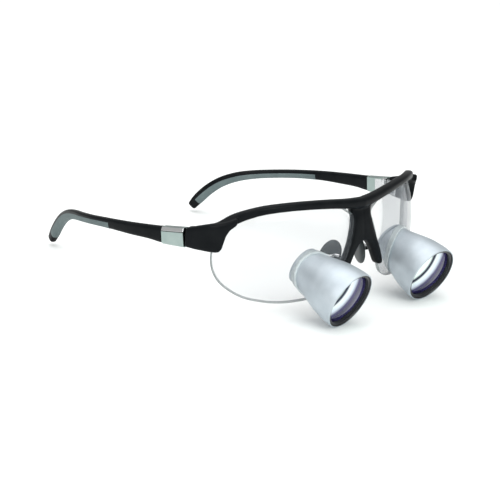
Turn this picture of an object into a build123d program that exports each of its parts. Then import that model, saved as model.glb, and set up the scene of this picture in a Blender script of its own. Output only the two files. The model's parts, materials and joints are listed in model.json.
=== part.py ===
from build123d import *
import os
from math import cos, radians, sin, sqrt

# Dental loupes, in millimetres. +Z is up, +Y runs from the lenses back to the temple tips,
# and the wearer's left is +X. The origin is on the floor, under the middle of the object.
# The loupes stand on the lower edges of the two objective rims and on the two temple tips.
# Each piece is modelled on the left side and mirrored in the YZ plane for the right.

# Carrier lenses: each one is a shell cut from a sphere centred behind it
lens_radius = 66.0
lens_thickness = 1.9
lens_x, lens_y, lens_z = 12.8, -0.4, 26.0

# Telescopes: the axis runs down and a little inward from the eye
scope_tilt = 20.4
scope_toe = 3.7
rim_radius = 13.6
rim_x, rim_y, rim_z = 29.1, -83.9, 12.75
bore_radius = 12.7
collar_wall = 0.7

# Front frame
end_x, end_y, end_yaw, end_thickness = 69.0, -33.8, 16.0, 4.4
groove_end = 68.3
leg_front, leg_back = -67.8, -62.8

# Hinges: the screw stands on the inner side of each end piece
hinge_x, hinge_y, hinge_z, hinge_rake = 67.0, -25.1, 34.8, 6.0
hinge_gap = 0.15
knuckle_radius = 1.5
knuckle_inner, knuckle_outer = 1.2, 3.5
hinge_screw_radius = 0.7
running_clearance = 0.05
leaf_inner, leaf_thickness = 1.9, 0.8

# Temples
wire_radius = 0.6
wire_lift = 0.26

# Nose pads
pad_x, pad_y, pad_z = 10.3, -55.6, 22.0
pad_splay, pad_lean, pad_sweep = 24.0, 15.0, 15.0
pad_half_width, pad_half_height, pad_thickness = 5.0, 8.0, 2.6
pad_pivot = 3.0
pad_screw_radius = 0.5
eye_radius = 1.1
ear_inner, ear_outer = 1.15, 1.85

hinge_plane = Plane(
    origin=(hinge_x, hinge_y, hinge_z),
    x_dir=(1, 0, 0),
    z_dir=(0, sin(radians(hinge_rake)), cos(radians(hinge_rake))),
)
scope_back = Vector(
    sin(radians(scope_toe)) * cos(radians(scope_tilt)),
    cos(radians(scope_toe)) * cos(radians(scope_tilt)),
    sin(radians(scope_tilt)),
)
scope_side = Vector(cos(radians(scope_toe)), -sin(radians(scope_toe)), 0)
# local x is the radius and local y the distance behind the objective rim
scope_plane = Plane(origin=(rim_x, rim_y, rim_z), x_dir=scope_side, z_dir=scope_side.cross(scope_back))
scope_axis = Axis((rim_x, rim_y, rim_z), scope_back)


def through(before, here, after):
    """The plane across a path at one of its points, its x level and its y upward."""
    heading = Vector(*after) - Vector(*before)
    return Plane(origin=here, x_dir=Vector(0, 0, 1).cross(heading), z_dir=heading)


def planes_along(stations):
    """The planes across a path of stations that begin with x, y, z."""
    points = [station[:3] for station in stations]
    return [through(before, here, after)
            for before, here, after in zip(points[:1] + points[:-1], points, points[1:] + points[-1:])]


def lofted(planes, stations, depth_part=1.0, height_part=1.0, side=0.0, lift=0.0):
    """A rounded bar across planes, through stations of (x, y, z, depth, height)."""
    with BuildPart() as bar:
        for plane, (_, _, _, depth, height) in zip(planes, stations):
            width, tall = depth * depth_part, height * height_part
            with BuildSketch(plane):
                with Locations((side * depth, lift * height)):
                    RectangleRounded(width, tall, 0.42 * min(width, tall))
        loft()
    return bar


def turned(profile):
    """A piece of the telescope: a closed profile of (radius, distance behind the rim)."""
    with BuildPart() as piece:
        with BuildSketch(scope_plane):
            with BuildLine():
                Polyline(*profile, close=True)
            make_face()
        revolve(axis=scope_axis)
    return piece


def turned_lens(radius, front, back, front_bulge, back_bulge):
    """A round glass with spherical faces; a positive bulge swells outward."""
    with BuildPart() as glass:
        with BuildSketch(scope_plane):
            with BuildLine():
                Line((0, front - front_bulge), (0, back + back_bulge))
                curve_back = SagittaArc((radius, back), (-radius, back), -back_bulge, mode=Mode.PRIVATE)
                curve_front = SagittaArc((radius, front), (-radius, front), front_bulge, mode=Mode.PRIVATE)
                ThreePointArc((0, back + back_bulge), curve_back @ 0.25, (radius, back))
                Line((radius, back), (radius, front))
                ThreePointArc((radius, front), curve_front @ 0.25, (0, front - front_bulge))
            make_face()
        revolve(axis=scope_axis)
    return glass


def box_between(plane, low, high):
    """A box between two corners given in a plane's own x, y and z."""
    middle = tuple((a + b) / 2 for a, b in zip(low, high))
    size = [b - a for a, b in zip(low, high)]
    with BuildPart(plane) as block:
        with Locations(middle):
            Box(*size)
    return block


def rod(plane, radius, bottom, top):
    """A cylinder along a plane's own z."""
    with BuildPart(plane) as cylinder:
        with Locations((0, 0, (bottom + top) / 2)):
            Cylinder(radius, top - bottom)
    return cylinder


def less(piece, *others):
    """A piece with the space of the others taken out of it."""
    with BuildPart() as cut:
        add(piece.part)
        for other in others:
            add(other.part, mode=Mode.SUBTRACT)
    return cut


def mirrored(piece):
    """The same piece for the right side."""
    with BuildPart() as other:
        add(mirror(piece.part, about=Plane.YZ))
    return other


# ---- telescope ----

# outside of the barrel: a short straight band for a push-on cap, then the taper to the eye end
barrel_outside = [
    (rim_radius, 0), (rim_radius, 3.2), (13.4, 5.5), (12.7, 10.5), (10.9, 17), (9.5, 21.7), (8.2, 27.4),
]
barrel_inside = [
    (7.2, 27.4), (7.2, 24.4), (6.6, 24.4), (6.6, 23.4), (8.3, 20), (9.7, 15.5), (11.3, 9.5), (11.6, 7.0),
    (bore_radius, 7.0), (bore_radius, 0.6), (13.2, 0),
]
telescope_housing = turned(barrel_outside + barrel_inside)
objective_ring = turned([(11.9, 0.7), (bore_radius, 0.7), (bore_radius, 1.7), (11.9, 1.7)])
objective_lens = turned_lens(bore_radius - 0.05, 2.85, 6.95, 2.0, 0.6)
with BuildPart() as objective_seal:
    with BuildSketch(scope_plane):
        with Locations((12.28, 2.1)):
            Circle(0.38)
    revolve(axis=scope_axis)
stop_tube = turned([(8.9, 17.2), (9.15, 17.2), (10.75, 10.9), (10.5, 10.9)])
eyepiece_lens = turned_lens(6.55, 20.6, 23.35, -0.7, -0.7)
eyepiece_ring = turned([
    (5.6, 24.45), (7.15, 24.45), (7.15, 27.45), (8.6, 27.45), (8.6, 28.3), (8.3, 28.7), (6.5, 28.7),
    (6.5, 27.0), (5.6, 27.0),
])
eyepiece_window = turned_lens(6.45, 27.12, 28.2, 0.25, -0.2)
collar_outside = [(r + collar_wall, s) for r, s in barrel_outside if s > 10]
collar_solid = turned([(0, 10.5)] + collar_outside + [(0, 27.4)])
barrel_solid = turned([(0, 0)] + barrel_outside + [(0, 27.4)])
lens_hole = turned([(0, 10.5)] + collar_outside + [(8.9, 30), (0, 30)])

# ---- carrier lens ----

# outline from the front, as x and z: over the brow, down the temple side, along the bottom
lens_rim = [
    (8.4, 44.6), (16.5, 48.3), (31, 49.5), (44, 49.3), (55, 47.3), (61.7, 43.6), (65.6, 37.8), (67.9, 30),
    (68, 24.7), (64.5, 15.4), (57.8, 10.1), (50.6, 7.8), (42.8, 6.9), (34.2, 7.2), (24.8, 7.9), (18.4, 10.1),
    (14.3, 13.3), (11.6, 17.9),
]
# and back up inside the groove of the nose leg
lens_nose_side = [(11.6, 17.9), (10.4, 24), (8.6, 31), (6.6, 38), (5.8, 42), (8.4, 44.6)]


def on_cone(points, depth):
    """Points of the outline carried along rays from the sphere's centre to a plane at that depth."""
    carried = []
    for x, z in points:
        across, up = x - lens_x, z - lens_z
        reach = depth / sqrt(lens_radius**2 - across**2 - up**2)
        carried.append((across * reach, up * reach))
    return carried


with BuildPart() as lens_cone:
    for depth in (22.0, 72.0):
        with BuildSketch(Plane(origin=(lens_x, lens_y - depth, lens_z), x_dir=(1, 0, 0), z_dir=(0, -1, 0))):
            with BuildLine():
                Spline(*on_cone(lens_rim, depth))
                Spline(*on_cone(lens_nose_side, depth))
            make_face()
    loft(ruled=True)

with BuildPart() as carrier_lens_whole:
    with Locations((lens_x, lens_y, lens_z)):
        Sphere(lens_radius)
        Sphere(lens_radius - lens_thickness, mode=Mode.SUBTRACT)
    add(lens_cone.part, mode=Mode.INTERSECT)

carrier_lens = less(carrier_lens_whole, lens_hole)

with BuildPart() as bonding_collar:
    with Locations((lens_x, lens_y, lens_z)):
        Sphere(lens_radius + 0.5)
        Sphere(lens_radius - lens_thickness - 0.5, mode=Mode.SUBTRACT)
    add(collar_solid.part, mode=Mode.INTERSECT)
    add(barrel_solid.part, mode=Mode.SUBTRACT)

# ---- hinges ----

# everything behind the face where the temple meets the end piece
behind_hinge = box_between(hinge_plane, (-12, -hinge_gap, -20), (20, 20, 20))

with BuildPart() as hinge_screw:
    add(rod(hinge_plane, hinge_screw_radius, -knuckle_outer, knuckle_outer).part)
    add(rod(hinge_plane, 1.15, knuckle_outer, knuckle_outer + 0.6).part)

end_plane = Plane(
    origin=(end_x, end_y, 0),
    x_dir=(sin(radians(end_yaw)), cos(radians(end_yaw)), 0),
    z_dir=(cos(radians(end_yaw)), -sin(radians(end_yaw)), 0),
)
end_leaf_plane = Plane(origin=end_plane.from_local_coords(Vector(0, 0, -end_thickness / 2)),
                       x_dir=end_plane.x_dir, z_dir=end_plane.z_dir)

with BuildPart() as front_leaf:
    add(box_between(end_leaf_plane, (1.6, 31.6, 0), (9.5, 38.2, leaf_thickness)).part)
    add(behind_hinge.part, mode=Mode.SUBTRACT)
    for low, high in ((-knuckle_outer, -knuckle_inner), (knuckle_inner, knuckle_outer)):
        add(rod(hinge_plane, knuckle_radius, low, high).part)
        add(box_between(hinge_plane, (0, -1.5, low), (leaf_inner + 0.5, -hinge_gap, high)).part)
    add(rod(hinge_plane, hinge_screw_radius, -knuckle_outer, knuckle_outer).part, mode=Mode.SUBTRACT)

temple_knuckle = knuckle_inner - 0.1
with BuildPart() as temple_leaf:
    add(box_between(hinge_plane, (leaf_inner, hinge_gap, -3.2), (leaf_inner + leaf_thickness, 7.4, 3.0)).part)
    add(rod(hinge_plane, knuckle_radius, -temple_knuckle, temple_knuckle).part)
    add(box_between(hinge_plane, (0, hinge_gap, -temple_knuckle), (leaf_inner + 0.4, 1.5, temple_knuckle)).part)
    add(rod(hinge_plane, hinge_screw_radius + running_clearance, -2, 2).part, mode=Mode.SUBTRACT)

# ---- front frame ----

# stations from the middle of the bridge to the end piece: x, y, z, depth, height
brow_stations = [
    (0, -63.1, 47.2, 5.0, 4.8), (9, -62.4, 47.9, 4.8, 4.4), (20, -60.8, 49.1, 4.6, 4.0),
    (31, -58.2, 49.8, 4.5, 3.8), (41, -55.2, 50.0, 4.4, 3.7), (50, -50.7, 49.2, 4.4, 3.8),
    (56, -46.5, 47.5, 4.4, 4.0), (61, -42.7, 45.4, 4.6, 4.6), (65.5, -38.8, 43.0, 4.6, 5.6),
    (68.6, -32.3, 40.6, 4.4, 6.4),
]
bridge_plane = Plane(origin=brow_stations[0][:3], x_dir=(0, 1, 0), z_dir=(1, 0, 0))
brow = lofted([bridge_plane] + planes_along(brow_stations)[1:], brow_stations)

with BuildPart() as end_piece:
    with BuildSketch(end_plane):
        with BuildLine():
            Polyline((12, 30.6), (-4.2, 30.6), (-6.9, 30.9), (-7.9, 32.2))
            Spline((-7.9, 32.2), (-8.8, 37), (-10, 40.2), (-12, 42.6))
            Spline((-12, 42.6), (-9, 44.4), (-4, 43.4), (4, 41.0), (12, 38.6))
            Line((12, 38.6), (12, 30.6))
        make_face()
    extrude(amount=end_thickness / 2, both=True)

with BuildPart() as nose_legs:
    with BuildSketch(Plane.XZ.offset(-leg_front)):
        with BuildLine():
            Polyline((0, 46), (0, 30.3))
            Spline((0, 30.3), (3.2, 28.2), (8, 21.6), (12.5, 17.0))
            Line((12.5, 17.0), (16, 17.0))
            Spline((16, 17.0), (15.9, 19), (13.5, 25.5), (10.3, 32), (8, 37.5), (7.2, 42), (9.2, 45.4), (14, 47.4))
            Polyline((14, 47.4), (0, 46))
        make_face()
    extrude(amount=leg_front - leg_back)

# the groove in the end piece is a little deeper than the lens
with BuildPart() as end_groove:
    with Locations((lens_x, lens_y, lens_z)):
        Sphere(lens_radius)
        Sphere(lens_radius - lens_thickness, mode=Mode.SUBTRACT)
    with Locations((groove_end - 10, end_y, 38)):
        Box(20, 30, 24, mode=Mode.INTERSECT)

with BuildPart() as front_half:
    add(less(brow, carrier_lens_whole).part)
    add(less(nose_legs, carrier_lens_whole).part)
    add(less(end_piece, end_groove, behind_hinge, front_leaf).part)

with BuildPart() as front_frame:
    add(front_half.part)
    mirror(about=Plane.YZ)

# ---- temples ----

# stations from the back of the metal cover to the tip: x, y, z, thickness, height
arm_stations = [
    (71.6, -12.4, 33.1, 3.9, 7.5), (72.1, -4, 32.5, 3.8, 6.3), (72.3, 6, 31.5, 3.7, 5.6),
    (71.8, 16, 30.5, 3.6, 4.9), (70.5, 26, 29.3, 3.6, 4.4), (68.6, 36, 27.8, 3.6, 4.2),
    (65.4, 46, 25.8, 3.6, 4.2), (60.8, 55, 23.2, 3.7, 4.4), (56.6, 61.5, 20.2, 3.8, 4.8),
    (53.4, 69, 15.6, 3.9, 5.2), (50.8, 76.5, 10.4, 4.0, 5.6), (48.2, 84.1, 5.2, 4.0, 5.6),
    (46.9, 87.2, 2.6, 3.4, 4.2),
]
cover_front = hinge_plane.from_local_coords(Vector(4.0, hinge_gap, 0))
front_stations = [(*cover_front, 4.2, 8.4), arm_stations[0]]
cover_start = Plane(origin=cover_front, x_dir=(-1, 0, 0), z_dir=hinge_plane.y_dir)
cover_end = through(cover_front, arm_stations[0][:3], arm_stations[1][:3])
arm_front = lofted([cover_start, cover_end], front_stations)
# the core under the cover reaches the inner face, so the cover is open on that side
arm_core = lofted([cover_start, cover_end], front_stations, 1.2, 0.88, 0.22)
arm_rear = lofted([cover_end] + planes_along(arm_stations)[1:], arm_stations)

hinge_cover = less(arm_front, arm_core)

wire_route = [
    plane.from_local_coords(Vector(0, wire_lift * station[4], 0))
    for plane, station in zip(planes_along(arm_stations), arm_stations)
]
with BuildPart() as core_wire:
    with BuildLine() as wire_line:
        Spline(*wire_route[:-3])
    with BuildSketch(Plane(origin=wire_line.line @ 0, z_dir=wire_line.line % 0)):
        Circle(wire_radius)
    sweep()

grip_stations = [(x, y, z, 9.0, height) for x, y, z, _, height in arm_stations[2:-1]]
grip_space = lofted(planes_along(grip_stations), grip_stations, lift=-0.44)

with BuildPart() as temple_grip:
    add(arm_rear.part)
    add(grip_space.part, mode=Mode.INTERSECT)

with BuildPart() as temple_arm:
    add(less(arm_front, hinge_cover, temple_leaf, core_wire).part)
    add(less(arm_rear, temple_grip, core_wire).part)

# ---- nose pads ----

splay, lean = radians(pad_splay), radians(pad_lean)
# local x runs back along the pad's width, local z out to the side, away from the nose
pad_plane = Plane(
    origin=(pad_x, pad_y, pad_z),
    x_dir=(sin(splay), cos(splay), 0),
    z_dir=(cos(lean) * cos(splay), -cos(lean) * sin(splay), sin(lean)),
)
# local z is the line of the pad screw
pad_screw_plane = Plane(
    origin=pad_plane.from_local_coords(Vector(0, 0, pad_pivot)),
    x_dir=pad_plane.z_dir,
    z_dir=pad_plane.x_dir,
)

with BuildPart() as pad_insert:
    with BuildSketch(pad_plane.offset(-0.4)):
        Ellipse(3.0, 5.2, rotation=pad_sweep)
    extrude(amount=0.8)
    add(box_between(pad_plane, (-ear_outer, -1.1, 0.4), (ear_outer, 1.1, 1.5)).part)
    for low, high in ((-ear_outer, -ear_inner), (ear_inner, ear_outer)):
        add(rod(pad_screw_plane, eye_radius, low, high).part)
        add(box_between(pad_plane, (low, -eye_radius, 1.4), (high, eye_radius, pad_pivot)).part)
    add(rod(pad_screw_plane, pad_screw_radius + running_clearance, -3, 3).part, mode=Mode.SUBTRACT)

with BuildPart() as nose_pad:
    with BuildSketch(pad_plane.offset(-pad_thickness / 2)):
        Ellipse(pad_half_width, pad_half_height, rotation=pad_sweep)
    extrude(amount=pad_thickness)
    fillet(nose_pad.edges(), 1.1)
    add(pad_insert.part, mode=Mode.SUBTRACT)

with BuildPart() as pad_screw:
    add(rod(pad_screw_plane, pad_screw_radius, -2.0, 2.3).part)
    add(rod(pad_screw_plane, 0.9, -2.6, -1.95).part)

with BuildPart() as pad_arm:
    with BuildLine() as arm_line:
        FilletPolyline(
            (12.2, leg_back, 24.5),
            (12.2, leg_back + 2.4, 24.5),
            (15.4, -59.6, 24.2),
            pad_plane.from_local_coords(Vector(0, 0, 5.4)),
            pad_plane.from_local_coords(Vector(0, 0, pad_pivot + 0.8)),
            radius=0.8,
        )
    with BuildSketch(Plane(origin=arm_line.line @ 0, z_dir=arm_line.line % 0)):
        Circle(wire_radius)
    sweep()
    add(rod(pad_screw_plane, eye_radius, -ear_inner + 0.1, ear_inner - 0.1).part)
    add(rod(pad_screw_plane, pad_screw_radius, -2, 2).part, mode=Mode.SUBTRACT)

# ---- files: one for each piece ----

left_pieces = {
    "carrier_lens": carrier_lens,
    "bonding_collar": bonding_collar,
    "telescope_housing": telescope_housing,
    "objective_ring": objective_ring,
    "objective_seal": objective_seal,
    "objective_lens": objective_lens,
    "stop_tube": stop_tube,
    "eyepiece_lens": eyepiece_lens,
    "eyepiece_ring": eyepiece_ring,
    "eyepiece_window": eyepiece_window,
    "front_leaf": front_leaf,
    "hinge_screw": hinge_screw,
    "temple_leaf": temple_leaf,
    "temple_arm": temple_arm,
    "hinge_cover": hinge_cover,
    "core_wire": core_wire,
    "temple_grip": temple_grip,
    "nose_pad": nose_pad,
    "pad_insert": pad_insert,
    "pad_arm": pad_arm,
    "pad_screw": pad_screw,
}

os.makedirs("parts", exist_ok=True)
front_frame.part.label = "front_frame"
export_step(front_frame.part, "parts/front_frame.step")
for name, piece in left_pieces.items():
    for side, owner in (("left", piece), ("right", mirrored(piece))):
        owner.part.label = f"{name}_{side}"
        export_step(owner.part, f"parts/{name}_{side}.step")
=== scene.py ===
import json
import bmesh
import bpy
from math import atan, cos, pi, radians, sin, sqrt
from mathutils import Matrix, Vector


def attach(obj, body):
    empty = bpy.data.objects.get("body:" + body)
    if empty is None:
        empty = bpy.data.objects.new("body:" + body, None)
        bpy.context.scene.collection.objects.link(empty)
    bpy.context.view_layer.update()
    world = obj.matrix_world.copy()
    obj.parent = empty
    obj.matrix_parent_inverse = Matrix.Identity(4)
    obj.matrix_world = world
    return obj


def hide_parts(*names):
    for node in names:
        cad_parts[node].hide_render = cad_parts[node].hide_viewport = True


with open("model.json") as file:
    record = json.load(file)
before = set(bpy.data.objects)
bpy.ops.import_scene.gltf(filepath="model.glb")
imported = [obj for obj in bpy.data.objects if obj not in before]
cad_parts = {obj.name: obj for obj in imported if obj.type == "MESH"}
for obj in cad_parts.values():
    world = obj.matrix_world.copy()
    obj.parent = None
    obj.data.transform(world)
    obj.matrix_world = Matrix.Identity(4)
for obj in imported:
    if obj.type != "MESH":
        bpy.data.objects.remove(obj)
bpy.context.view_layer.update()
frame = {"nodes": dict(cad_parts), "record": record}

mm = 0.001
sides = {"left": 1, "right": -1}  # the wearer's left is +X


# --- small helpers ---

def point(x, y, z):
    return Vector((x * mm, y * mm, z * mm))


def blendPoints(a, b, c, d, t):
    # one step of a smooth curve from b to c
    blended = []
    for p, q, r, s in zip(a, b, c, d):
        bend = 2 * p - 5 * q + 4 * r - s
        swing = 3 * q - p - 3 * r + s
        blended.append(0.5 * (2 * q + (r - p) * t + bend * t * t + swing * t ** 3))
    return blended


def smoothRows(rows, steps, closed=False):
    # a smooth curve through rows of numbers, however many numbers a row has
    count = len(rows)
    spans = count if closed else count - 1
    dense = []
    for i in range(spans):
        pick = (lambda k: rows[k % count]) if closed else (lambda k: rows[min(max(k, 0), count - 1)])
        for step in range(steps):
            dense.append(blendPoints(pick(i - 1), pick(i), pick(i + 1), pick(i + 2), step / steps))
    if not closed:
        dense.append(list(rows[-1]))
    return dense


def makePiece(name, verts, faces, material, body, stands=(), smooth=True):
    mesh = bpy.data.meshes.new(name)
    mesh.from_pydata([tuple(v) for v in verts], [], faces)
    mesh.validate()
    piece = bpy.data.objects.new(name, mesh)
    bpy.context.scene.collection.objects.link(piece)
    fixNormals(piece)
    mesh.materials.append(material)
    if smooth:
        mesh.shade_smooth()
    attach(piece, body)
    if stands:
        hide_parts(*stands)
    return piece


def fixNormals(piece):
    work = bmesh.new()
    work.from_mesh(piece.data)
    bmesh.ops.recalc_face_normals(work, faces=work.faces)
    work.to_mesh(piece.data)
    work.free()


def skinRings(rings, capped=True):
    # faces over a stack of rings that all have the same number of points
    size = len(rings[0])
    verts = [p for ring in rings for p in ring]
    faces = []
    for i in range(len(rings) - 1):
        for j in range(size):
            k = (j + 1) % size
            faces.append((i * size + j, i * size + k, (i + 1) * size + k, (i + 1) * size + j))
    if capped:
        faces.append(tuple(range(size)))
        faces.append(tuple(range((len(rings) - 1) * size, len(rings) * size)))
    return verts, faces


def pathFrames(rows):
    # place, sideways and upward directions along dense rows that begin with x, y, z
    frames = []
    for i, row in enumerate(rows):
        before, after = rows[max(i - 1, 0)], rows[min(i + 1, len(rows) - 1)]
        heading = (Vector(after[:3]) - Vector(before[:3])).normalized()
        across = Vector((0, 0, 1)).cross(heading).normalized()
        frames.append((Vector(row[:3]), across, heading.cross(across), heading))
    return frames


def roundedSection(place, across, up, width, height, power, count):
    ring = []
    for k in range(count):
        angle = 2 * pi * k / count
        c, s = cos(angle), sin(angle)
        u = abs(c) ** (2 / power) * (1 if c >= 0 else -1) * width / 2
        v = abs(s) ** (2 / power) * (1 if s >= 0 else -1) * height / 2
        ring.append((place + across * u + up * v) * mm)
    return ring


def softenEdges(piece, width):
    bevel = piece.modifiers.new("softEdges", "BEVEL")
    bevel.width = width
    bevel.segments = 2
    bevel.limit_method = "ANGLE"
    bevel.angle_limit = radians(35)
    bevel.harden_normals = False


# --- materials ---

def newMaterial(name):
    material = bpy.data.materials.new(name)
    material.use_nodes = True
    shader = material.node_tree.nodes["Principled BSDF"]
    return material, material.node_tree.nodes, material.node_tree.links, shader


def grainBump(nodes, links, shader, scale, strength, distance, detail=4):
    # fine surface grain in object space
    place = nodes.new("ShaderNodeTexCoord")
    noise = nodes.new("ShaderNodeTexNoise")
    noise.inputs["Scale"].default_value = scale
    noise.inputs["Detail"].default_value = detail
    bump = nodes.new("ShaderNodeBump")
    bump.inputs["Strength"].default_value = strength
    bump.inputs["Distance"].default_value = distance
    links.new(place.outputs["Object"], noise.inputs["Vector"])
    links.new(noise.outputs["Fac"], bump.inputs["Height"])
    links.new(bump.outputs["Normal"], shader.inputs["Normal"])
    return noise, place


def varyColour(nodes, links, shader, source, low, high):
    ramp = nodes.new("ShaderNodeValToRGB")
    ramp.color_ramp.elements[0].color = (*low, 1)
    ramp.color_ramp.elements[1].color = (*high, 1)
    ramp.color_ramp.elements[0].position = 0.3
    ramp.color_ramp.elements[1].position = 0.7
    links.new(source, ramp.inputs["Fac"])
    links.new(ramp.outputs["Color"], shader.inputs["Base Color"])


def varyRoughness(nodes, links, shader, source, low, high):
    spread = nodes.new("ShaderNodeMapRange")
    spread.inputs["To Min"].default_value = low
    spread.inputs["To Max"].default_value = high
    links.new(source, spread.inputs["Value"])
    links.new(spread.outputs["Result"], shader.inputs["Roughness"])


patches = {"scale": 160, "detail": 3}  # slow changes of tone across a surface

finishes = {
    "blackFrame": dict(low=(0.003, 0.004, 0.005), high=(0.006, 0.007, 0.008), rough=(0.28, 0.38), metal=0.0,
                       grain=2600, strength=0.12, depth=0.00002, specular=0.07),
    "greyRubber": dict(low=(0.085, 0.115, 0.118), high=(0.115, 0.150, 0.152), rough=(0.55, 0.7), metal=0.0,
                       grain=3400, strength=0.25, depth=0.00003, specular=0.4),
    "satinSilver": dict(low=(0.42, 0.47, 0.51), high=(0.50, 0.55, 0.59), rough=(0.44, 0.52), metal=0.6,
                        grain=5200, strength=0.10, depth=0.00002, specular=0.5),
    "polishedCover": dict(low=(0.30, 0.37, 0.355), high=(0.37, 0.44, 0.42), rough=(0.26, 0.34), metal=1.0,
                          grain=4200, strength=0.05, depth=0.00001, specular=0.5),
    # near-white metal on the hinge cover's chamfer: a painted highlight
    "chamferPaintedHighlight": dict(low=(0.86, 0.88, 0.88), high=(0.92, 0.93, 0.93), rough=(0.10, 0.16), metal=1.0,
                       grain=2000, strength=0.03, depth=0.00001, specular=0.5),
    "steel": dict(low=(0.58, 0.59, 0.60), high=(0.68, 0.69, 0.70), rough=(0.20, 0.30), metal=1.0,
                  grain=3000, strength=0.05, depth=0.00001, specular=0.5),
    "blackMetal": dict(low=(0.006, 0.006, 0.008), high=(0.012, 0.012, 0.014), rough=(0.30, 0.42), metal=0.0,
                       grain=3600, strength=0.08, depth=0.00001, specular=0.5),
    "sealRubber": dict(low=(0.010, 0.010, 0.010), high=(0.018, 0.018, 0.018), rough=(0.5, 0.6), metal=0.0,
                       grain=3000, strength=0.1, depth=0.00001, specular=0.4),
}


def plainFinish(name):
    values = finishes[name]
    material, nodes, links, shader = newMaterial(name)
    noise, place = grainBump(nodes, links, shader, values["grain"], values["strength"], values["depth"])
    patch = nodes.new("ShaderNodeTexNoise")
    patch.inputs["Scale"].default_value = patches["scale"]
    patch.inputs["Detail"].default_value = patches["detail"]
    links.new(place.outputs["Object"], patch.inputs["Vector"])
    varyColour(nodes, links, shader, patch.outputs["Fac"], values["low"], values["high"])
    varyRoughness(nodes, links, shader, patch.outputs["Fac"], *values["rough"])
    shader.inputs["Metallic"].default_value = values["metal"]
    shader.inputs["Specular IOR Level"].default_value = values["specular"]
    return material


def clearLensFinish():
    # clear hard-coated plastic: a faint grey head on, more at a low angle
    material, nodes, links, shader = newMaterial("clearLens")
    shader.inputs["Base Color"].default_value = (0.26, 0.28, 0.31, 1)
    shader.inputs["Roughness"].default_value = 0.03
    shader.inputs["Metallic"].default_value = 0.0
    edge = nodes.new("ShaderNodeLayerWeight")
    edge.inputs["Blend"].default_value = 0.18
    smear = nodes.new("ShaderNodeTexNoise")
    smear.inputs["Scale"].default_value = 60
    place = nodes.new("ShaderNodeTexCoord")
    links.new(place.outputs["Object"], smear.inputs["Vector"])
    varyRoughness(nodes, links, shader, smear.outputs["Fac"], 0.02, 0.05)
    spread = nodes.new("ShaderNodeMapRange")
    spread.inputs["To Min"].default_value = 0.12
    spread.inputs["To Max"].default_value = 0.5
    links.new(edge.outputs["Fresnel"], spread.inputs["Value"])
    links.new(spread.outputs["Result"], shader.inputs["Alpha"])
    return material


def lensEdgeFinish():
    # the cut edge of the lens gathers light and reads as a grey line
    material, nodes, links, shader = newMaterial("lensEdge")
    noise, _ = grainBump(nodes, links, shader, 2400, 0.1, 0.00001)
    varyColour(nodes, links, shader, noise.outputs["Fac"], (0.16, 0.19, 0.19), (0.26, 0.29, 0.29))
    shader.inputs["Roughness"].default_value = 0.25
    shader.inputs["Alpha"].default_value = 0.75
    return material


# how far the glass turns from the viewer, and the colour there: the pale bands are a painted reflection, the
# rest is the dark violet to navy coated glass
coatingAndPaintedReflectionSteps = [
    (0.0, (0.80, 0.92, 0.89)), (0.345, (0.84, 0.95, 0.92)), (0.37, (0.010, 0.016, 0.035)),
    (0.395, (0.012, 0.014, 0.040)), (0.42, (0.82, 0.90, 0.92)), (0.49, (0.62, 0.68, 0.78)),
    (0.55, (0.035, 0.028, 0.110)), (0.68, (0.014, 0.011, 0.050)), (0.82, (0.030, 0.024, 0.110)),
    (1.0, (0.060, 0.055, 0.200)),
]


def objectiveGlassPaintedReflection():
    # dark coated glass, violet to navy as it turns away; the pale bands where it faces the viewer are a
    # painted reflection set by viewing angle, not a reflection of the lamps
    material, nodes, links, shader = newMaterial("objectiveGlassWithPaintedReflection")
    facing = nodes.new("ShaderNodeLayerWeight")
    facing.inputs["Blend"].default_value = 0.5
    # colour by viewing angle: pale bands are painted reflection, dark violet to navy is the coated glass
    coatingAndReflectionRamp = nodes.new("ShaderNodeValToRGB")
    ramp = coatingAndReflectionRamp.color_ramp.elements
    ramp[0].color = (*coatingAndPaintedReflectionSteps[0][1], 1)
    ramp[1].color = (*coatingAndPaintedReflectionSteps[-1][1], 1)
    for place, colour in coatingAndPaintedReflectionSteps[1:-1]:
        ramp.new(place).color = (*colour, 1)
    links.new(facing.outputs["Facing"], coatingAndReflectionRamp.inputs["Fac"])
    links.new(coatingAndReflectionRamp.outputs["Color"], shader.inputs["Base Color"])
    noise, _ = grainBump(nodes, links, shader, 900, 0.01, 0.00001)
    varyRoughness(nodes, links, shader, noise.outputs["Fac"], 0.02, 0.04)
    shader.inputs["Specular IOR Level"].default_value = 0.3
    return material


def resinFinish():
    # clear resin bead between barrel and lens
    material, nodes, links, shader = newMaterial("collarResin")
    noise, _ = grainBump(nodes, links, shader, 700, 0.15, 0.00003)
    varyColour(nodes, links, shader, noise.outputs["Fac"], (0.58, 0.64, 0.66), (0.74, 0.80, 0.81))
    shader.inputs["Roughness"].default_value = 0.2
    shader.inputs["Alpha"].default_value = 0.7
    return material


def siliconeFinish():
    # dark, slightly clear silicone
    material, nodes, links, shader = newMaterial("padSilicone")
    noise, _ = grainBump(nodes, links, shader, 1800, 0.12, 0.00002)
    varyColour(nodes, links, shader, noise.outputs["Fac"], (0.014, 0.020, 0.022), (0.024, 0.032, 0.034))
    varyRoughness(nodes, links, shader, noise.outputs["Fac"], 0.34, 0.46)
    shader.inputs["Subsurface Weight"].default_value = 0.15
    shader.inputs["Subsurface Scale"].default_value = 0.002
    return material


slotFinish = {
    "black_frame": plainFinish("blackFrame"),
    "grey_rubber": plainFinish("greyRubber"),
    "satin_silver": plainFinish("satinSilver"),
    "polished_cover": plainFinish("polishedCover"),
    "steel": plainFinish("steel"),
    "black_metal": plainFinish("blackMetal"),
    "seal_rubber": plainFinish("sealRubber"),
    "clear_lens": clearLensFinish(),
    "coated_glass": objectiveGlassPaintedReflection(),
    "collar_resin": resinFinish(),
    "pad_silicone": siliconeFinish(),
}
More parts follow.
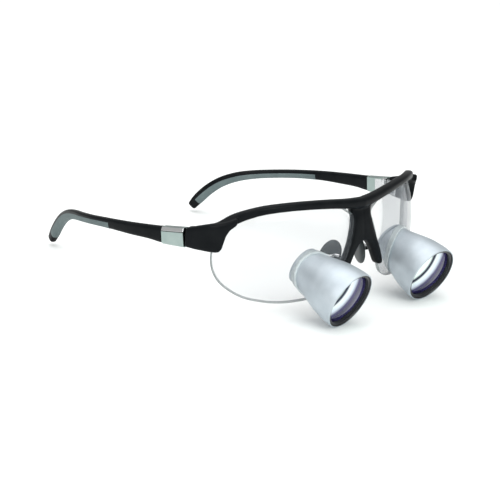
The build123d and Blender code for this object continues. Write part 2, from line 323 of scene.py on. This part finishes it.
# the painted highlight on the hinge cover's chamfer
chamferPaintedHighlight = plainFinish("chamferPaintedHighlight")
lensEdge = lensEdgeFinish()
print("materials ready")

for part in frame["record"]["subparts"]:
    node = frame["nodes"][part["node"]]
    node.data.materials.clear()
    node.data.materials.append(slotFinish[part["material_slot"]])


# --- front frame: brow bar, end pieces and nose legs moulded as one ---

frameShape = {
    # x, y, z, depth and height from the bridge to the end piece
    "brow": [(0, -63.1, 47.2, 5.0, 4.8), (9, -62.4, 47.9, 4.8, 4.4), (20, -60.8, 49.1, 4.6, 4.0),
             (31, -58.2, 49.8, 4.5, 3.8), (41, -55.2, 50.0, 4.4, 3.7), (50, -50.7, 49.2, 4.4, 3.8),
             (56, -46.4, 47.4, 4.4, 4.1), (61, -42.6, 45.0, 4.4, 4.6), (65.4, -38.6, 41.4, 4.2, 4.8),
             (68.6, -32.3, 38.4, 4.0, 5.6)],
    "endPlace": (69.0, -33.8),
    "endYaw": 16.0,
    "endThickness": 4.4,
    # distance along the end piece, its lowest and its highest edge
    "endRows": [(8.3, 30.9, 39.5), (4, 30.6, 40.9), (0, 30.6, 42.2), (-3, 30.6, 43.1), (-5.4, 30.7, 43.7),
                (-6.9, 31.1, 44.1), (-7.9, 32.6, 44.3), (-8.5, 35.3, 44.5), (-9.3, 38.6, 44.8),
                (-10.6, 41.2, 45.4), (-12.8, 43.4, 46.6)],
    "endPower": 4.5,
    "bendStart": -2.0,
    "bend": 0.034,
    # height of each section of a nose leg and how far its two sides are from the middle
    "legRows": [(17.0, 11.9, 13.6), (17.4, 11.1, 14.3), (18.2, 10.2, 14.6), (19.4, 9.4, 14.4),
                (21.6, 8.1, 13.6), (24.8, 6.3, 12.2), (28.0, 3.9, 10.6), (29.8, 1.6, 9.9),
                (30.6, -1.5, 9.5), (34, -1.5, 8.2), (37.5, -1.5, 7.0), (41, -1.5, 6.2),
                (44, -1.5, 6.5), (45.8, -1.5, 8.0), (47.2, -1.5, 10.6), (48.2, -1.5, 12.0)],
    "legFront": -66.9,
    "legDepth": 3.9,
    "legPower": 4.0,
    "leanStart": 24.0,
    "lean": 0.0068,
    "browPower": 3.0,
    "browPoints": 36,
    "sectionPoints": 40,
    "voxel": 0.42 * mm,
    "smoothing": 7,
}


def endPiece(side):
    # the bar's outer end: sections that swing from the brow towards the temple
    shape = frameShape
    yaw = radians(shape["endYaw"])
    endX, endY = shape["endPlace"]
    rings = []
    for along, low, high in shape["endRows"]:
        past = max(0.0, shape["bendStart"] - along)
        inward = shape["bend"] * past ** 2
        turn = yaw + atan(2 * shape["bend"] * past)
        place = Vector((side * (endX + sin(yaw) * along - cos(yaw) * inward),
                        endY + cos(yaw) * along + sin(yaw) * inward, (low + high) / 2))
        across = Vector((side * cos(turn), -sin(turn), 0))
        rings.append(roundedSection(place, across, Vector((0, 0, 1)), shape["endThickness"], high - low,
                                    shape["endPower"], shape["sectionPoints"]))
    return skinRings(rings)


def noseLeg(side):
    shape = frameShape
    across, deep = Vector((1, 0, 0)), Vector((0, 1, 0))
    rings = []
    for z, near, far in shape["legRows"]:
        front = shape["legFront"] + shape["lean"] * max(0.0, z - shape["leanStart"]) ** 2
        place = Vector((side * (near + far) / 2, front + shape["legDepth"] / 2, z))
        rings.append(roundedSection(place, across, deep, far - near, shape["legDepth"], shape["legPower"],
                                    shape["sectionPoints"]))
    return skinRings(rings)


def frontFrame():
    shape = frameShape
    half = smoothRows(shape["brow"], 8)
    whole = [[-row[0]] + row[1:] for row in reversed(half[1:])] + half
    rings = []
    for (*_, depth, height), (place, across, up, _) in zip(whole, pathFrames(whole)):
        rings.append(roundedSection(place, across, up, depth, height, shape["browPower"],
                                    shape["browPoints"]))
    solids = [skinRings(rings)]
    for side in sides.values():
        solids += [endPiece(side), noseLeg(side)]
    verts, faces = [], []
    for solidVerts, solidFaces in solids:
        start = len(verts)
        verts += solidVerts
        faces += [tuple(start + i for i in face) for face in solidFaces]
    piece = makePiece("frontMoulding", verts, faces, slotFinish["black_frame"], "front",
                      ["front_frame"])
    remesh = piece.modifiers.new("union", "REMESH")
    remesh.mode = "VOXEL"
    remesh.voxel_size = shape["voxel"]
    remesh.use_smooth_shade = True
    soften = piece.modifiers.new("soften", "SMOOTH")
    soften.factor = 0.5
    soften.iterations = shape["smoothing"]


frontFrame()
print("front frame made")


# --- carrier lenses ---

lensShape = {
    "centre": (12.8, -0.4, 26.0),
    "radius": 66.0,
    "thickness": 1.9,
    "middle": (38.0, 27.5),
    "outline": [(8.4, 44.6), (16.5, 48.3), (31, 49.5), (44, 49.3), (55, 47.3), (61.7, 43.6), (65.6, 37.8),
                (67.9, 30), (67.4, 22.0), (64.2, 15.4), (57.8, 10.2), (50.6, 7.9), (42.8, 6.9), (34.2, 7.1),
                (24.8, 8.0), (18.4, 10.1), (14.3, 13.3), (11.6, 17.9), (10.4, 24), (8.6, 31), (6.6, 38),
                (5.8, 42)],
    "rings": 22,
    "edgeRound": 0.35,
    "edgeReach": 30,
}


def carrierLens(sideName, side):
    shape = lensShape
    cx, cy, cz = shape["centre"]
    mx, mz = shape["middle"]
    rim = smoothRows(shape["outline"], 8, closed=True)
    count = len(rim)

    def onShell(x, z, shell):
        # a point on the ball, moved along its own ray to the wanted radius
        across, up = x - cx, z - cz
        deep = sqrt(shape["radius"] ** 2 - across ** 2 - up ** 2)
        scale = shell / shape["radius"]
        return point(side * (cx + across * scale), cy - deep * scale, cz + up * scale)

    front = shape["radius"]
    back = front - shape["thickness"]
    shells = []
    for k in range(1, shape["rings"] + 1):
        part = k / shape["rings"]
        shells.append([onShell(mx + (x - mx) * part, mz + (z - mz) * part, front) for x, z in rim])
    edgeStart = len(shells)
    inset = 1 - shape["edgeRound"] / shape["edgeReach"]
    shells[-1] = [onShell(mx + (x - mx) * inset, mz + (z - mz) * inset, front) for x, z in rim]
    shells.append([onShell(x, z, front - shape["edgeRound"]) for x, z in rim])
    shells.append([onShell(x, z, back + shape["edgeRound"]) for x, z in rim])
    for k in range(shape["rings"], 0, -1):
        part = k / shape["rings"] if k < shape["rings"] else inset
        shells.append([onShell(mx + (x - mx) * part, mz + (z - mz) * part, back) for x, z in rim])
    verts, faces = skinRings(shells, capped=False)
    frontMiddle, backMiddle = len(verts), len(verts) + 1
    verts += [onShell(mx, mz, front), onShell(mx, mz, back)]
    last = (len(shells) - 1) * count
    for j in range(count):
        faces.append((frontMiddle, j, (j + 1) % count))
        faces.append((backMiddle, last + (j + 1) % count, last + j))
    piece = makePiece(f"carrierLens.{sideName}", verts, faces, slotFinish["clear_lens"], "front",
                      [f"carrier_lens_{sideName}"])
    piece.data.materials.append(lensEdge)
    for face in piece.data.polygons:
        row = min(face.vertices) // count
        if len(face.vertices) == 4 and edgeStart - 1 <= row <= edgeStart + 1:
            face.material_index = 1


for sideName, side in sides.items():
    carrierLens(sideName, side)
print("carrier lenses made")


# --- telescopes ---

scopeShape = {
    "rim": (29.1, -83.9, 12.75),
    "tilt": 20.4,
    "toe": 3.7,
    "segments": 128,
    # radius and distance behind the rim
    "rimRounding": [(13.25, 0.0), (13.45, 0.05), (13.58, 0.2)],
    "outside": [(13.6, 0.5), (13.6, 3.2), (13.4, 5.5), (13.1, 8.0), (12.7, 10.5), (11.9, 13.6), (10.9, 17),
                (10.15, 19.4), (9.5, 21.7), (8.8, 24.6), (8.25, 27.1), (8.1, 27.4)],
    "inside": [(7.2, 27.4), (7.2, 24.4), (6.6, 24.4), (6.6, 23.4), (8.3, 20), (9.7, 15.5), (11.3, 9.5),
               (11.6, 7.0), (12.7, 7.0), (12.7, 0.6), (13.1, 0.1)],
    "glassRadius": 12.65,
    "glassFront": 2.6,
    "glassBack": 6.95,
    "frontBulge": 2.6,
    "backBulge": 0.6,
}


def scopePlace(side):
    shape = scopeShape
    tilt, toe = radians(shape["tilt"]), radians(shape["toe"])
    back = Vector((side * sin(toe) * cos(tilt), cos(toe) * cos(tilt), sin(tilt)))
    across = Vector((cos(toe), -side * sin(toe), 0))
    rimX, rimY, rimZ = shape["rim"]
    return Vector((side * rimX, rimY, rimZ)), back, across, back.cross(across)


def turnedPiece(name, side, profile, material, stands, closed=True):
    origin, back, across, up = scopePlace(side)
    count = scopeShape["segments"]
    rings = []
    for radius, distance in profile:
        ring = []
        for k in range(count):
            angle = 2 * pi * k / count
            ring.append((origin + back * distance + (across * cos(angle) + up * sin(angle)) * radius) * mm)
        rings.append(ring)
    verts, faces = skinRings(rings, capped=False)
    start = (len(rings) - 1) * count
    if closed:
        faces += [(start + j, start + (j + 1) % count, (j + 1) % count, j) for j in range(count)]
    else:
        verts += [(origin + back * profile[0][1]) * mm, (origin + back * profile[-1][1]) * mm]
        faces += [(len(verts) - 2, j, (j + 1) % count) for j in range(count)]
        faces += [(len(verts) - 1, start + (j + 1) % count, start + j) for j in range(count)]
    return makePiece(name, verts, faces, material, "front", stands)


def bulgeRows(radius, edge, bulge, count, outward):
    # a round glass face from near its middle to its edge
    rows = []
    for k in range(1, count + 1):
        r = radius * k / count
        rows.append((r, edge + outward * bulge * (1 - (r / radius) ** 2)))
    return rows


def telescope(sideName, side):
    shape = scopeShape
    outside = shape["rimRounding"] + smoothRows(shape["outside"], 4)
    profile = outside + shape["inside"]
    barrel = turnedPiece(f"barrel.{sideName}", side, profile, slotFinish["satin_silver"],
                         [f"telescope_housing_{sideName}"])
    barrel.data.materials.append(slotFinish["black_metal"])
    count = shape["segments"]
    for face in barrel.data.polygons:
        if min(face.vertices) // count >= len(outside) - 1:
            face.material_index = 1
    front = bulgeRows(shape["glassRadius"], shape["glassFront"], shape["frontBulge"], 20, -1)
    back = bulgeRows(shape["glassRadius"], shape["glassBack"], shape["backBulge"], 10, 1)
    turnedPiece(f"objectiveGlass.{sideName}", side, front + back[::-1], slotFinish["coated_glass"],
                [f"objective_lens_{sideName}"], closed=False)


for sideName, side in sides.items():
    telescope(sideName, side)
print("telescopes made")


# --- temples ---

armShape = {
    "hinge": (67.0, -25.1, 34.8),
    "rake": 6.0,
    # x, y, z, thickness, height from the back of the metal cover to the tip
    "stations": [(71.6, -12.4, 33.1, 3.9, 7.5), (72.1, -4, 32.5, 3.8, 6.3), (72.3, 6, 31.5, 3.7, 5.6),
                 (71.8, 16, 30.5, 3.6, 4.9), (70.5, 26, 29.3, 3.6, 4.4), (68.6, 36, 27.8, 3.6, 4.2),
                 (65.4, 46, 26.1, 3.6, 4.2), (61.5, 55, 24.3, 3.7, 4.4), (57.8, 63, 21.9, 3.8, 4.8),
                 (54.4, 70.4, 18.2, 3.9, 5.2), (51.8, 76.6, 13.2, 4.0, 5.6), (49.8, 81.6, 7.6, 4.0, 5.6),
                 (48.7, 84.8, 3.3, 3.5, 4.6)],
    "coverRows": 11,
    "coverWall": 0.5,
    "coverProud": 0.06,
    "coverGap": 0.15,
    "coverPlace": 4.0,
    "coverSize": (4.2, 8.4),
    "coverBevel": 0.08,
    # inward from the outer face and down from the top: the dark line, then the chamfer
    "coverUpper": [(0, 2.0), (0.25, 1.85), (0.05, 1.7), (0.75, 0.15), (1.2, 0)],
    "coverCorner": 0.5,
    "coverLowCorner": 0.6,
    "tipReach": 0.9,
    "tipRings": 6,
    "tipOpening": 0.4,
    "wireRange": (-8.0, 66.0),
    "wireWidth": 1.2,
    "gripStart": 20.6,
    "gripEnd": 82.6,
    "gripProud": 0.07,
    "gripDepth": 0.6,
    "gripBevel": 0.12,
    "ringPoints": 56,
    "power": 3.0,
}


def armRows():
    rake = radians(armShape["rake"])
    hx, hy, hz = armShape["hinge"]
    gap = armShape["coverGap"]
    start = [hx + armShape["coverPlace"], hy + cos(rake) * gap, hz - sin(rake) * gap, *armShape["coverSize"]]
    return smoothRows([start] + [list(row) for row in armShape["stations"]], 10)


def armRings(rows, grow=0.0):
    rings = []
    for (*_, width, height), (place, across, up, _) in zip(rows, pathFrames(rows)):
        rings.append(roundedSection(place, across, up, width + grow, height + grow, armShape["power"],
                                    armShape["ringPoints"]))
    return rings


def mirrorRings(rings, side):
    return [[Vector((side * p.x, p.y, p.z)) for p in ring] for ring in rings]


def roundedEnd(rings, heading):
    # closes the end of a stack of rings with a soft dome
    reach, steps = armShape["tipReach"], armShape["tipRings"]
    last = rings[-1]
    middle = sum(last, Vector()) / len(last)
    extra = []
    for k in range(1, steps + 1):
        angle = k / (steps + armShape["tipOpening"]) * pi / 2
        extra.append([middle + heading * reach * sin(angle) + (p - middle) * cos(angle) for p in last])
    return rings + extra


def templeArm(sideName, side):
    rows = armRows()
    covered = armShape["coverRows"]
    # the arm is thinner where the metal cover sits on it
    slim = armRings(rows[:covered], -2 * armShape["coverWall"])
    full = armRings(rows[covered - 1:])
    rings = roundedEnd(slim + full, pathFrames(rows)[-1][3] * mm)
    verts, faces = skinRings(mirrorRings(rings, side))
    makePiece(f"templeArm.{sideName}", verts, faces, slotFinish["black_frame"], f"temple_{sideName}",
              [f"temple_arm_{sideName}"])


def templeGrip(sideName, side):
    shape = armShape
    rows = [row for row in armRows() if shape["gripStart"] <= row[1] <= shape["gripEnd"]]
    allRings = armRings(rows, 2 * shape["gripProud"])
    count = shape["ringPoints"]
    # the lower half of each section and one step more at each side
    low = range(count // 2 - 1, count + 2)
    outer = [[ring[k % count] for k in low] for ring in allRings]
    innerRings = armRings(rows, -2 * shape["gripDepth"])
    inner = [[ring[k % count] for k in reversed(low)] for ring in innerRings]
    loops = [a + b for a, b in zip(outer, inner)]
    verts, faces = skinRings(mirrorRings(loops, side))
    piece = makePiece(f"templeGrip.{sideName}", verts, faces, slotFinish["grey_rubber"], f"temple_{sideName}",
                      [f"temple_grip_{sideName}"])
    softenEdges(piece, shape["gripBevel"] * mm)


def coreWire(sideName, side):
    low, high = armShape["wireRange"]
    rows = [row for row in armRows() if low <= row[1] <= high]
    width = armShape["wireWidth"]
    rings = []
    for place, across, up, _ in pathFrames(rows):
        rings.append(roundedSection(place, across, up, width, width, 2.0, 16))
    verts, faces = skinRings(mirrorRings(rings, side))
    makePiece(f"coreWire.{sideName}", verts, faces, slotFinish["steel"], f"temple_{sideName}",
              [f"core_wire_{sideName}"])


def hingeCover(sideName, side):
    # a metal sleeve with a polished chamfer along its upper outer edge; the chamfer's near-white colour is a
    # painted highlight
    shape = armShape
    rows = armRows()[:shape["coverRows"]]
    corner, lowCorner = shape["coverCorner"], shape["coverLowCorner"]
    rings = []
    for row, (place, across, up, _) in zip(rows, pathFrames(rows)):
        w, h = row[3] / 2 + shape["coverProud"], row[4] / 2 + shape["coverProud"]
        upper = [(w - inward, h - down) for inward, down in shape["coverUpper"]]
        inner = [(corner - w, h), (-w, h - corner), (-w, corner - h), (corner - w, -h)]
        section = [(w, lowCorner - h)] + upper + inner + [(w - lowCorner, -h)]
        rings.append([(place - across * out + up * rise) * mm for out, rise in section])
    verts, faces = skinRings(mirrorRings(rings, side))
    piece = makePiece(f"hingeCover.{sideName}", verts, faces, slotFinish["polished_cover"],
                      f"temple_{sideName}", [f"hinge_cover_{sideName}"], smooth=False)
    piece.data.materials.append(slotFinish["black_metal"])
    piece.data.materials.append(chamferPaintedHighlight)
    size = len(rings[0])
    # the chamfer strip takes the near-white painted highlight
    strips = {1: 1, 2: 1, 3: 2}  # which strip of the section takes the dark line and which the chamfer
    for face in piece.data.polygons:
        columns = sorted({v % size for v in face.vertices})
        if len(columns) == 2 and columns[1] == columns[0] + 1:
            face.material_index = strips.get(columns[0], 0)
    softenEdges(piece, shape["coverBevel"] * mm)


for sideName, side in sides.items():
    templeArm(sideName, side)
    templeGrip(sideName, side)
    coreWire(sideName, side)
    hingeCover(sideName, side)
print("temples made")


# --- nose pads ---

padShape = {
    "place": (10.3, -55.6, 22.0),
    "splay": 24.0,
    "lean": 15.0,
    "sweep": 15.0,
    "halfWidth": 5.0,
    "halfHeight": 8.0,
    "thickness": 2.6,
    "crown": 0.35,
    "ringPoints": 64,
    "layers": 20,
    "fullness": 0.32,
}


def nosePad(sideName, side):
    shape = padShape
    splay, lean, sweep = radians(shape["splay"]), radians(shape["lean"]), radians(shape["sweep"])
    u = Vector((sin(splay), cos(splay), 0))
    n = Vector((cos(lean) * cos(splay), -cos(lean) * sin(splay), sin(lean)))
    v = n.cross(u)
    place = Vector(shape["place"])
    count, layers = shape["ringPoints"], shape["layers"]
    rings = []
    for i in range(1, layers):
        angle = pi * i / layers
        shrink = sin(angle) ** shape["fullness"]
        depth = -cos(angle) * shape["thickness"] / 2
        ring = []
        for k in range(count):
            turn = 2 * pi * k / count
            a = shape["halfWidth"] * shrink * cos(turn)
            b = shape["halfHeight"] * shrink * sin(turn)
            du, dv = a * cos(sweep) - b * sin(sweep), a * sin(sweep) + b * cos(sweep)
            # the nose side is crowned and the other side slightly hollow
            hollow = shape["crown"] * ((a / shape["halfWidth"]) ** 2 + (b / shape["halfHeight"]) ** 2 - 0.5)
            p = place + u * du + v * dv + n * (depth + hollow)
            ring.append(Vector((side * p.x, p.y, p.z)) * mm)
        rings.append(ring)
    verts, faces = skinRings(rings)
    piece = makePiece(f"nosePad.{sideName}", verts, faces, slotFinish["pad_silicone"], f"nose_pad_{sideName}",
                      [f"nose_pad_{sideName}"])


for sideName, side in sides.items():
    nosePad(sideName, side)
print("nose pads made")


# --- floor, lights and camera ---

studio = {
    "floorSize": 6.0,
    "floorColour": (0.90, 0.915, 0.91),
    "world": 0.42,
    "worldColour": (1.0, 1.0, 1.0),
    "azimuth": -48.85,
    "elevation": 17.2,
    "roll": 3.46,
    "distance": 0.8105,
    "target": (0.0, 0.00048, 0.00904),
    "lens": 123.86,
    # name, place, size, power, colour
    "softboxes": [
        ("topBox", (0.0, 0.3, 2.2), (3.2, 3.2), 62, (1.0, 1.0, 1.0)),
        ("frontBox", (-0.25, -1.0, 0.55), (0.7, 0.5), 6, (0.93, 1.0, 0.97)),
        ("sideBox", (-1.1, -0.1, 0.6), (0.6, 0.6), 5, (1.0, 1.0, 1.0)),
    ],
}


def makeFloor():
    size = studio["floorSize"]
    mesh = bpy.data.meshes.new("floor")
    corners = [(-size, -size, 0), (size, -size, 0), (size, size, 0), (-size, size, 0)]
    mesh.from_pydata(corners, [], [(0, 1, 2, 3)])
    floor = bpy.data.objects.new("floor", mesh)
    bpy.context.scene.collection.objects.link(floor)
    material, nodes, links, shader = newMaterial("floorPaper")
    noise, _ = grainBump(nodes, links, shader, 300, 0.02, 0.0001)
    low = studio["floorColour"]
    varyColour(nodes, links, shader, noise.outputs["Fac"], low, tuple(c + 0.01 for c in low))
    shader.inputs["Roughness"].default_value = 0.6
    shader.inputs["Specular IOR Level"].default_value = 0.2
    mesh.materials.append(material)


def makeLights():
    bpy.context.scene.view_settings.view_transform = "Standard"
    world = bpy.data.worlds.new("studioWorld")
    world.use_nodes = True
    world.node_tree.nodes["Background"].inputs["Color"].default_value = (*studio["worldColour"], 1)
    world.node_tree.nodes["Background"].inputs["Strength"].default_value = studio["world"]
    bpy.context.scene.world = world
    for name, place, size, power, colour in studio["softboxes"]:
        light = bpy.data.lights.new(name, "AREA")
        light.shape = "RECTANGLE"
        light.size, light.size_y = size
        light.energy = power
        light.color = colour
        lamp = bpy.data.objects.new(name, light)
        bpy.context.scene.collection.objects.link(lamp)
        lamp.location = place
        lamp.rotation_euler = (-Vector(place)).to_track_quat("-Z", "Y").to_euler()


def makeCamera():
    az, el, roll = radians(studio["azimuth"]), radians(studio["elevation"]), radians(studio["roll"])
    back = Vector((sin(az) * cos(el), -cos(az) * cos(el), sin(el)))
    right = Vector((cos(az), sin(az), 0))
    up = back.cross(right)
    rightR = right * cos(roll) + up * sin(roll)
    upR = -right * sin(roll) + up * cos(roll)
    camera = bpy.data.objects.new("camera", bpy.data.cameras.new("camera"))
    bpy.context.scene.collection.objects.link(camera)
    camera.data.lens = studio["lens"]
    camera.data.sensor_width = 36
    place = Vector(studio["target"]) + back * studio["distance"]
    turn = Matrix((rightR, upR, back)).transposed().to_4x4()
    camera.matrix_world = Matrix.Translation(place) @ turn
    bpy.context.scene.camera = camera


makeFloor()
makeLights()
makeCamera()
print("studio ready")
